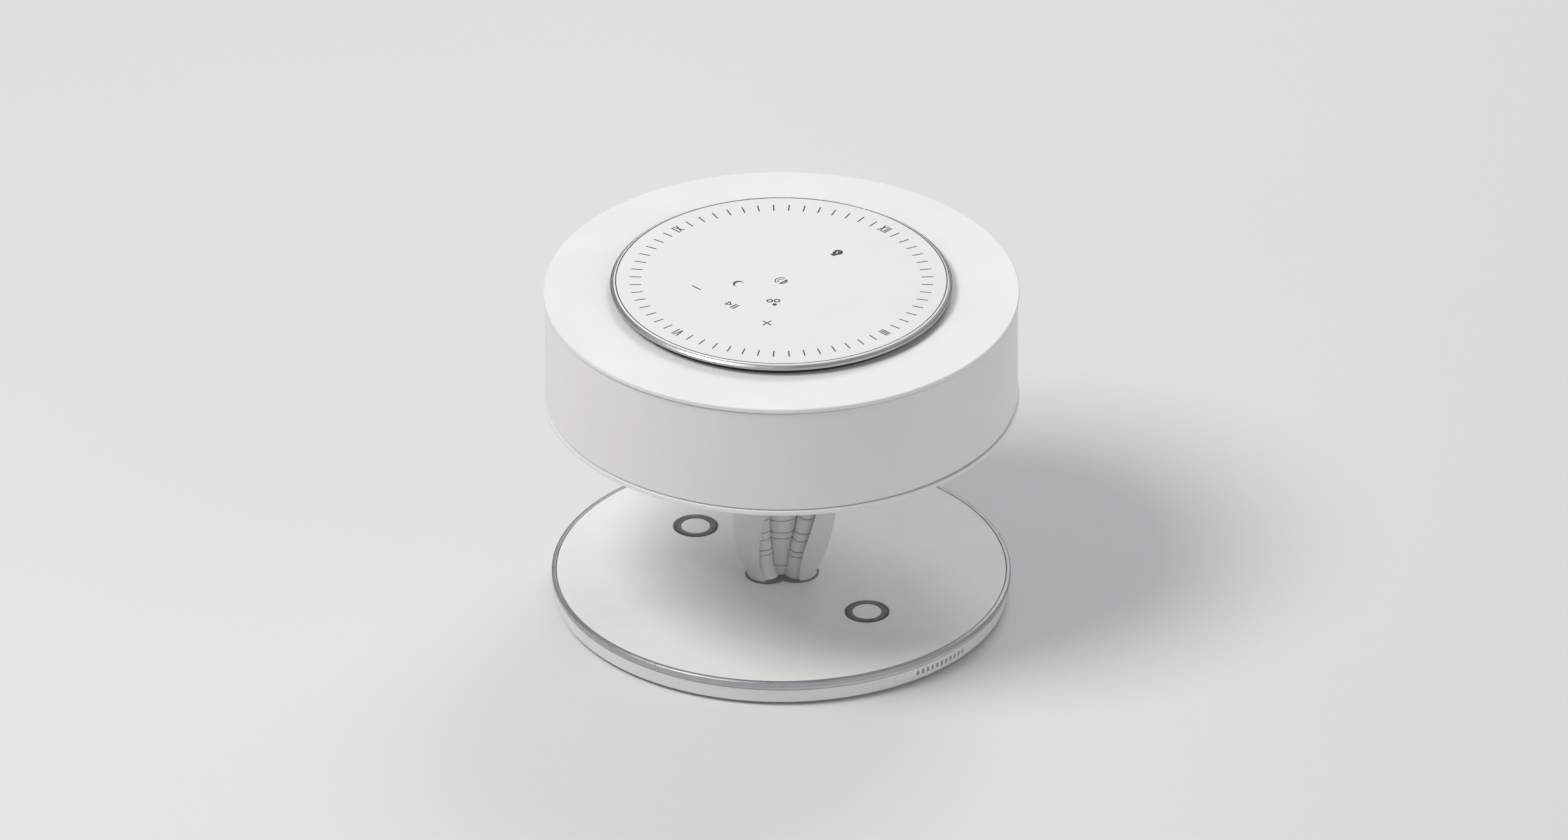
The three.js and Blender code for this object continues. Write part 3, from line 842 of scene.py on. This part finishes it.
def make_drum_shell():
    """Bottom ring, wall with a shadow gap at its top and bottom, and cover with a rim."""
    ring_in = 108
    lip = 112.3
    bottom = [
        (ring_in, DRUM_BOTTOM), (DRUM_R - 0.4, DRUM_BOTTOM), (DRUM_R, DRUM_BOTTOM + 0.4), (DRUM_R, RIM_TOP),
        (lip, RIM_TOP), (lip, FLOOR_BOTTOM), (ring_in, FLOOR_BOTTOM),
    ]
    stand_in("drum_bottom_ring", soft_turned(bottom, 0.2), "white_shell")

    shadow_gap = 0.7
    gap_r = WALL_R - 1
    wall_in = WALL_R - 2
    low, high = RIM_TOP + shadow_gap, WALL_TOP - shadow_gap
    wall = [
        (wall_in, RIM_TOP), (gap_r, RIM_TOP), (gap_r, low), (WALL_R, low),
        (WALL_R, high), (gap_r, high), (gap_r, WALL_TOP), (wall_in, WALL_TOP),
    ]
    stand_in("diffuser_wall", soft_turned(wall, 0.3), "opal_diffuser")

    cover_in = 55
    cover_t = 2
    rim_in = 116.5
    chamfer = 0.45
    cover = [
        (cover_in, DRUM_TOP - cover_t), (rim_in, DRUM_TOP - cover_t), (rim_in, COVER_RIM),
        (DRUM_R, COVER_RIM), (DRUM_R, DRUM_TOP - chamfer), (DRUM_R - chamfer, DRUM_TOP), (cover_in, DRUM_TOP),
    ]
    stand_in("drum_cover", soft_turned(cover, 0.35), "white_shell")


def make_drum_underside():
    floor = ring_section(GRILLE_R + GAP, FLOOR_R, FLOOR_BOTTOM, RIM_TOP)
    stand_in("floor_diffuser", soft_turned(floor, 0.2), "opal_diffuser")

    slots = 20
    slot = stadium(11.5, 2.1)
    slot_middle_r = 50.75
    outlines = [circle(GRILLE_R, ROUND), circle(FLANGE_R + GAP, LARGE)]
    for i in range(slots):
        angle = TURN * i / slots
        outlines.append(moved(slot, *polar(slot_middle_r, angle), angle))
    stand_in("sound_grille", plate(outlines, FLOOR_BOTTOM, RIM_TOP, 0.2), "white_shell")

    flange = ring_section(BORE_R, FLANGE_R, TRUNK_TOP, RIM_TOP)
    stand_in("trunk_flange", soft_turned(flange, 0.3), "steel")


# ---------------------------------------- control disc

HUB_NECK_R = 79.2
PRINT_T = 0.09
PRINT_PROUD = 0.03


def make_control_disc():
    """The undercut base, the glass with a chamfered edge, and the turning ring round it."""
    bore_r = 20
    pocket_r = 76
    pocket_floor, _ = levels("touch_board")
    shoulder = RING_BOTTOM - GAP
    base = [
        (bore_r, DRUM_TOP), (NECK_R, DRUM_TOP), (NECK_R, shoulder), (HUB_NECK_R, shoulder),
        (HUB_NECK_R, GLASS_BOTTOM), (pocket_r, GLASS_BOTTOM), (pocket_r, pocket_floor),
        (bore_r, pocket_floor),
    ]
    stand_in("control_base", soft_turned(base, 0.15), "dark_plastic")

    edge_w = 0.75
    edge_level = FACE_TOP - 0.4
    glass_top = FACE_TOP - PRINT_PROUD
    glass = [
        (0, GLASS_BOTTOM), (FACE_R, GLASS_BOTTOM), (FACE_R, edge_level), (FACE_R - edge_w, glass_top),
        (0, glass_top),
    ]
    stand_in("touch_glass", soft_turned(glass, 0.25), "touch_glass")

    shoulder = FACE_TOP - 1.34
    flange_top = GLASS_BOTTOM - GAP
    ring = [
        (HUB_NECK_R + GAP, RING_BOTTOM), (RING_R, RING_BOTTOM), (RING_R, shoulder),
        (FACE_R + GAP, RING_TOP), (FACE_R + GAP, flange_top), (HUB_NECK_R + GAP, flange_top),
    ]
    stand_in("control_ring", soft_turned(ring, 0.18), "satin_trim", body=RING)


def printed(name, outlines):
    """Print on the glass, which stands a little proud of it."""
    place(name, plate(outlines, FACE_TOP - PRINT_T, FACE_TOP), "dark_plastic", finish="dial_ink")


def numeral_x(width, height, stroke):
    x, y = width / 2, height / 2
    notch = height * stroke / (2 * (width - stroke))
    return [
        (-x, y), (-x + stroke, y), (0, notch), (x - stroke, y), (x, y), (stroke / 2, 0),
        (x, -y), (x - stroke, -y), (0, -notch), (-x + stroke, -y), (-x, -y), (-stroke / 2, 0),
    ]


def numeral_v(width, height, stroke):
    x, y = width / 2, height / 2
    notch = y - height * (x - stroke) / (x - stroke / 2)
    return [
        (-x, y), (-x + stroke, y), (0, notch), (x - stroke, y), (x, y), (stroke / 2, -y), (-stroke / 2, -y),
    ]


def numeral(text, height):
    """Outlines of a Roman numeral, centred, its letters side by side."""
    stroke = 0.75
    gap = 0.5
    widths = {"X": 2.9, "V": 2.9, "I": stroke}
    whole = sum(widths[letter] for letter in text) + gap * (len(text) - 1)
    left = -whole / 2
    outlines = []
    for letter in text:
        width = widths[letter]
        if letter == "X":
            outline = numeral_x(width, height, stroke)
        elif letter == "V":
            outline = numeral_v(width, height, stroke)
        else:
            outline = rectangle(width, height)
        outlines.append(moved(outline, left + width / 2, 0))
        left += width + gap
    return outlines


def make_dial():
    """Sixty minute marks on the glass, with a Roman numeral in place of each quarter's."""
    middle_r = 73.6
    length = 6.0
    width = 0.72
    border_out, border_in = FACE_R - 0.85, FACE_R - 1.45
    quarters = {0: "III", 15: "XII", 30: "IX", 45: "VI"}
    marks = []
    numerals = []
    for i in range(60):
        angle = radians(6 * i)
        if i in quarters:
            for outline in numeral(quarters[i], length):
                numerals.append(moved(outline, *polar(middle_r, angle), angle - pi / 2))
        else:
            marks.append(moved(stadium(length, width, 6), *polar(middle_r, angle), angle))
    printed("dial_marks", marks)
    printed("dial_numerals", numerals)
    printed("dial_border", [circle(border_out, ROUND), circle(border_in, ROUND)])


def band(radius, width, start, end, centre=(0, 0)):
    """An arc-shaped stroke."""
    outer = arc(radius + width / 2, start, end, 28, centre)
    inner = arc(radius - width / 2, end, start, 28, centre)
    return outer + inner


def crescent(radius, bite_r, offset, centre):
    """A disc with a second disc cut out of its right side."""
    x = (radius**2 - bite_r**2 + offset**2) / (2 * offset)
    y = sqrt(radius**2 - x**2)
    outer = degrees(atan2(y, x))
    inner = degrees(atan2(y, x - offset))
    bite = arc(bite_r, 360 - inner, inner, 26, (centre[0] + offset, centre[1]))
    return arc(radius, outer, 360 - outer, 30, centre) + bite[1:-1]


def make_icons():
    """Touch keys printed on the glass, all plain generic signs."""
    stroke = 0.75
    bulb = arc(2.5, -38, 218, 30, (0, 40.5)) + [(-1.3, 37.6), (-1.3, 36.2), (1.3, 36.2), (1.3, 37.6)]
    glint = moved(stadium(stroke, 2.2), -0.3, 40.1, radians(25))
    swirl = [band(3.1, 0.55, 95, 262), band(1.9, 0.55, 105, 250, (0.3, 0))]
    dome = [rounded(arc(3.1, -74, 74, 24, (0.1, 0)), 0.3), moved(stadium(0.5, 2.2), 2.0, 0)]
    moon = crescent(3.0, 2.7, 1.15, (-13.0, -17.4))
    beads = []
    for x, y in ((12.7, -15.8), (10.2, -18.4)):
        beads += [circle(1.75, 32, (x, y)), circle(0.9, 24, (x, y))]
    beads.append(circle(1.2, 28, (14.5, -19.3)))
    minus = moved(stadium(6.2, stroke), -25.3, -35.2)
    reach, half = 3.2, stroke / 2
    quarter = [(half, reach), (half, half), (reach, half)]
    cross = [point for i in range(4) for point in moved(quarter, 0, 0, -i * pi / 2)]
    plus = moved(rounded(cross, 0.2), 25.0, -35.2)
    play = [
        rounded([(-3.7, -32.6), (-3.7, -37.4), (-0.2, -35.0)], 0.3),
        rounded([(-2.95, -33.95), (-2.95, -36.05), (-1.45, -35.0)], 0.1),
        moved(stadium(0.85, 4.9), 0.9, -35.0), moved(stadium(0.85, 4.9), 2.5, -35.0),
    ]
    keys = {
        "light": [bulb, glint], "scene": swirl + dome, "night": [moon], "colour": beads,
        "softer": [minus], "play": play, "louder": [plus],
    }
    for name, outlines in keys.items():
        printed(f"touch_key_{name}", outlines)


# ---------------------------------------- inside

HARNESS_X = 49.5


def make_round_parts():
    """Plain rings and discs: the CAD piece's own levels and outer radius, with rounded edges."""
    inner_radius_and_slot = {
        "ballast_ring": (37, "steel"), "heat_sink_ring": (60.4, "aluminium"),
        "led_board": (64, "circuit_board"), "speaker_front_plate": (9.6, "steel"),
        "speaker_magnet": (11, "ferrite"), "ferrite_disc_left": (0, "ferrite"),
        "ferrite_disc_right": (0, "ferrite"), "touch_board": (0, "circuit_board"),
    }
    for node, (inner, slot) in inner_radius_and_slot.items():
        low, high = corners(node)
        middle = (low.x + high.x) / 2
        section = ring_section(inner, high.x - middle, low.z, high.z)
        stand_in(node, soft_turned(section, 0.3, LARGE, (middle, 0)), slot)


def make_screws():
    """Screws, head down, with grooves for the thread and a six-sided socket in the head."""
    head_r, head_h = 2.7, 0.7
    crest_r, root_r = 1.25, 1.05
    threads = 9
    for i, at in enumerate(FASTENERS):
        node = f"base_screw_{i + 1}"
        low, high = levels(node)
        profile = [(0, low), (head_r, low), (head_r, low + head_h), (crest_r, low + head_h)]
        thread_low, thread_high = low + 0.9, high - 0.5
        pitch = (thread_high - thread_low) / threads
        for groove in range(threads):
            start = thread_low + groove * pitch
            profile += [(crest_r, start), (root_r, start + pitch / 2)]
        profile += [(1.2, high - 0.4), (0.8, high), (0, high)]
        socket = disc(1.0, low - 1, low + 0.45, 6, at)
        stand_in(node, carved(turned(profile, SMALL, at), socket), "steel")


def make_nuts():
    corner_r = 11
    for node in ("trunk_nut", "drum_nut"):
        nut = plate([circle(corner_r, 6), circle(BORE_R)], *levels(node), 0.35)
        stand_in(node, nut, "steel")


def make_coils():
    """Flat charging coils, two layers of twelve turns."""
    turns = 12
    inner, outer = 9, 22
    pitch = (outer - inner) / turns
    for side, x in (("left", -PAD_X), ("right", PAD_X)):
        node = f"charging_coil_{side}"
        low, high = levels(node)
        wire_r = (high - low) / 4
        windings = []
        for layer in (low + wire_r, high - wire_r):
            for i in range(turns):
                section = circle(wire_r - 0.02, 12, (inner + (i + 0.5) * pitch, layer))
                windings.append(turned(section, MIDDLE, (x, 0)))
        stand_in(node, together(*windings), "copper")


def make_lights():
    """Sixty small light packages in a ring, each with a yellow window in a white frame."""
    count = 60
    middle_r = 92
    length, width = 3.5, 2.8
    window_r = 1.05
    low, high = levels("led_ring")
    frames = []
    windows = []
    for i in range(count):
        angle = TURN * i / count
        at = polar(middle_r, angle)
        window = moved(circle(window_r, 24), *at)
        frames += [moved(rectangle(length, width), *at, angle), window]
        windows.append(window)
    stand_in("led_ring", plate(windows, low + 0.1, high), "phosphor")
    place("led_frames", plate(frames, low, high), "white_shell")


def make_socket():
    """The power inlet: a seamless metal shell, and a tongue with two rows of contacts."""
    both_walls = 0.7
    low, high = corners("usb_c_shell")
    width, height = high.x - low.x, high.z - low.z
    outline = stadium(width, height, 16)
    opening = stadium(width - both_walls, height - both_walls, 16)
    middle = (low.y + high.y) / 2
    shell = turn(plate([outline, opening], low.y, high.y, 0.08), 90, "X", (0, 0, middle))
    stand_in("usb_c_shell", shift(shell, y=middle, z=SOCKET_Z - middle), "steel")

    root, tip = (corner.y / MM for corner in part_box("usb_c_tongue"))
    tongue_w = 6.6
    blade_half_t = 0.35
    heel_l = 1.9
    blade_root = root + 1.6
    blade = rectangle(tongue_w, tip - blade_root, (0, (tip + blade_root) / 2))
    heel = rectangle(tongue_w, heel_l, (0, root + heel_l / 2))
    tongue = together(
        plate([blade], SOCKET_Z - blade_half_t, SOCKET_Z + blade_half_t, 0.1),
        plate([heel], SOCKET_Z - 1, SOCKET_Z + 1, 0.1),
    )
    stand_in("usb_c_tongue", tongue, "dark_plastic")

    count = 12
    pitch = 0.5
    width, length, thickness = 0.26, 3.6, 0.08
    middle = tip - 2.4
    strips = [rectangle(width, length, ((i - (count - 1) / 2) * pitch, middle)) for i in range(count)]
    rows = [plate(strips, level, level + thickness) for level in (SOCKET_Z - 0.4, SOCKET_Z + 0.32)]
    place("usb_c_contacts", together(*rows), "copper")


def make_harness():
    """The sleeved wires from the main board up through the trunk to the audio board."""
    harness_r = 1.6
    route = [
        (0, 92, 8.8), (0, 82, 9), (0, 74, 10), (0, 38, 10), (0, 24, 8.4), (0, 13, 5.9), (0, 6, 6),
        (0, 1.4, 8.2), (0, 0, 12), (0, 0, 17), (0, 0, 67), (0, 0, 116), (0, 0, 121), (3, 0, 125.2),
        (12, 0, 126.6), (40, 0, 126.4), (HARNESS_X - 1.6, 0, 129), (HARNESS_X, 0, 134),
        (HARNESS_X, 0, 138), (HARNESS_X, 0, 159), (HARNESS_X, 0, 163), (HARNESS_X - 1.5, 0, 167.4),
        (43.4, 0, 169.3), (34, 0, 169.3),
    ]
    stand_in("wire_harness", wire(route, harness_r), "dark_plastic", finish="sleeve")


def make_board_parts():
    """Chips, given as x, y, width, depth and height, and round capacitors on the two boards."""
    chips = {
        "main_board": [(-18, 88, 9, 9, 1.1), (16, 84, 7, 7, 1.0), (-4, 80, 4, 3, 0.9), (12, 98, 5, 4, 1.2)],
        "audio_board": [(-14, 8, 12, 12, 1.3), (12, 10, 8, 6, 1.1), (8, -14, 5, 5, 1.0)],
    }
    for board, rows in chips.items():
        _, low = levels(board)
        cases = [plate([rectangle(w, d, (x, y))], low, low + height, 0.12) for x, y, w, d, height in rows]
        place(board + "_chips", together(*cases), "dark_plastic")

    can_r = 2.5
    cans = {
        "main_board": (2.6, [(-25, 98), (-19, 99), (25, 80)]),
        "audio_board": (2.8, [(-28, -18), (-20, -18), (26, -16), (26, -6)]),
    }
    for board, (height, places) in cans.items():
        _, low = levels(board)
        high = low + height
        can = [
            (0, low), (can_r, low), (can_r, low + 0.5), (can_r - 0.2, low + 0.8), (can_r, low + 1.1),
            (can_r, high), (can_r - 0.4, high), (can_r - 0.5, high - 0.15), (0, high - 0.15),
        ]
        place(board + "_capacitors", together(*[turned(can, SMALL, at) for at in places]), "aluminium")


def make_speaker_housing():
    """Tube with a ledge for its lid, baffle with a hole for the harness, and hub plate with six windows."""
    wall_t = 2
    tube_r, tube_low, tube_high = span("centre_tube")
    tube_in = tube_r - 3
    ledge_in = tube_in - 4
    ledge, _ = levels("chamber_lid")
    tube = [
        (tube_in, tube_low), (tube_r, tube_low), (tube_r, tube_high), (tube_in, tube_high), (tube_in, ledge),
        (ledge_in, ledge), (ledge_in, ledge - wall_t), (tube_in, ledge - wall_t),
    ]
    stand_in("centre_tube", soft_turned(tube, 0.4), "dark_plastic")

    opening_r = 30
    hole_r = 2.4
    low, _ = levels("speaker_baffle")
    baffle = [
        (tube_in, low), (tube_r, low), (tube_r, tube_low), (opening_r, tube_low),
        (opening_r, tube_low - wall_t), (tube_in, tube_low - wall_t),
    ]
    hole = disc(hole_r, low - 1, tube_high, centre=(HARNESS_X, 0))
    stand_in("speaker_baffle", carved(soft_turned(baffle, 0.4), hole), "dark_plastic")

    windows = 6
    window_in, window_out = 45.5, 56.4
    window_deg = 50.4
    first_deg = 4.6
    hub = ring_section(BORE_R, HUB_R, RIM_TOP, HUB_TOP)
    outline = arc(window_out, 0, window_deg, 16) + arc(window_in, window_deg, 0, 16)
    cuts = []
    for i in range(windows):
        window = plate([outline], RIM_TOP - 10, HUB_TOP + 10)
        cuts.append(turn(window, first_deg + i * 360 / windows, "Z"))
    stand_in("hub_plate", carved(soft_turned(hub, 0.3), *cuts), "steel")


def make_speaker():
    """Basket with six openings, yoke with its pole, and the rubber roll of the surround."""
    low, high = levels("speaker_basket")
    sheet_t = 1.4
    basket = [
        (30.5, low), (34, low), (34, low + sheet_t), (32.2, low + sheet_t), (21.5, high),
        (12, high), (12, high - sheet_t), (20.7, high - sheet_t), (30.5, low + 1.1),
    ]
    openings = []
    for i in range(6):
        opening = plate([moved(stadium(8, 11), 26.5, 0)], low + 3, high - 3, 0.5)
        openings.append(turn(opening, 60 * i, "Z"))
    stand_in("speaker_basket", carved(soft_turned(basket, 0.5, LARGE), *openings), "steel")

    yoke_r, low, high = span("speaker_yoke")
    pole_r = 8.3
    back_t = 2.5
    yoke = [
        (0, low), (pole_r, low), (pole_r, high - back_t), (yoke_r, high - back_t), (yoke_r, high), (0, high),
    ]
    stand_in("speaker_yoke", soft_turned(yoke, 0.4, LARGE), "steel")

    outer, _, high = span("speaker_surround")
    inner = 27.4
    roll_r = 1.15
    edge = high - 0.35
    middle = (inner + outer) / 2
    roll = [(inner, high), *arc(roll_r, 180, 360, 14, (middle, edge)), (outer, edge), (outer, high)]
    stand_in("speaker_surround", turned(roll, LARGE), "speaker_rubber")


def make_cone():
    rim_r, low, high = span("speaker_cone")
    rim_t = 0.8
    bend_r = 18
    neck_r, neck_in = 9.2, 8.7
    cone = [
        (rim_r, low), (rim_r, low + rim_t), (bend_r, low + 5.4), (neck_r, low + 9.4), (neck_r, high),
        (neck_in, high), (neck_in, low + 8.7), (bend_r, low + 4.6),
    ]
    stand_in("speaker_cone", soft_turned(cone, 0.3, LARGE), "cone_paper", body=CONE)

    low, _ = levels("dust_cap")
    dome_r = 20
    dome_t = 0.5
    outer = arc(dome_r, -90, -59.3, 14, (0, low + dome_r))
    inner = arc(dome_r - dome_t, -60.8, -90, 14, (0, low + dome_r))
    stand_in("dust_cap", turned(outer + inner, LARGE), "cone_paper", body=CONE)


# ---------------------------------------- studio


def make_floor():
    floor_r = 6.0
    mesh = bmesh.new()
    mesh.faces.new([mesh.verts.new((x, y, 0)) for x, y in circle(floor_r, LARGE)])
    floor = as_object(mesh, "floor")
    paper = Paint("floor_paper", (0.73, 0.732, 0.735), 0.85)
    floor.data.materials.append(paper.mottled(400, 0.006).worn(150, 0.04).grained(3, 0.02).material)


AZIMUTH = radians(45)
ELEVATION = radians(30)
RIGHT = Vector((cos(AZIMUTH), sin(AZIMUTH), 0))
TOWARDS = Vector((sin(AZIMUTH), -cos(AZIMUTH), 0))
UPWARDS = Vector((0, 0, 1))


def make_camera():
    back = TOWARDS * cos(ELEVATION) + UPWARDS * sin(ELEVATION)
    screen_up = UPWARDS * cos(ELEVATION) - TOWARDS * sin(ELEVATION)
    data = bpy.data.cameras.new("camera")
    data.type = "ORTHO"
    data.ortho_scale = 0.790
    data.clip_end = 20
    camera = new_object("camera", data)
    aim_right, aim_up, distance = 0.00136, 0.0869, 2
    camera.location = RIGHT * aim_right + screen_up * aim_up + back * distance
    camera.rotation_mode = "QUATERNION"
    camera.rotation_quaternion = back.to_track_quat("Z", "Y")
    bpy.context.scene.camera = camera


def make_light(name, position, size, watts, tint=(1, 1, 1)):
    """A round area light that points at the middle of the lamp."""
    data = bpy.data.lights.new(name, "AREA")
    data.shape = "DISK"
    data.size = size
    data.energy = watts
    data.color = tint
    light = new_object(name, data)
    light.location = position
    aim = Vector((0, 0, 0.09)) - Vector(position)
    light.rotation_mode = "QUATERNION"
    light.rotation_quaternion = aim.to_track_quat("-Z", "Y")


def make_studio():
    make_floor()
    make_camera()
    make_light("key", RIGHT * -1.2 + TOWARDS * 0.5 + UPWARDS * 2.1, 1.1, 36, (1.0, 0.99, 0.975))
    make_light("fill", RIGHT * 1.5 + TOWARDS * 1.0 + UPWARDS * 0.8, 1.4, 5, (0.97, 0.985, 1.0))
    make_light("back", RIGHT * 0.5 - TOWARDS * 1.4 + UPWARDS * 1.5, 1.0, 11)
    world = bpy.data.worlds.new("studio")
    world.use_nodes = True
    background = world.node_tree.nodes["Background"]
    background.inputs["Color"].default_value = (0.97, 0.98, 1.0, 1)
    background.inputs["Strength"].default_value = 0.33
    bpy.context.scene.world = world
    bpy.context.scene.view_settings.view_transform = "Standard"


make_studio()
make_lower_shell()
make_feet()
make_trim_ring()
make_top_plate()
make_grip_rings()
make_collar()
make_core()
make_stems()
make_petals()
make_drum_shell()
make_drum_underside()
make_control_disc()
make_dial()
make_icons()
make_round_parts()
make_screws()
make_nuts()
make_coils()
make_lights()
make_socket()
make_harness()
make_board_parts()
make_speaker_housing()
make_speaker()
make_cone()
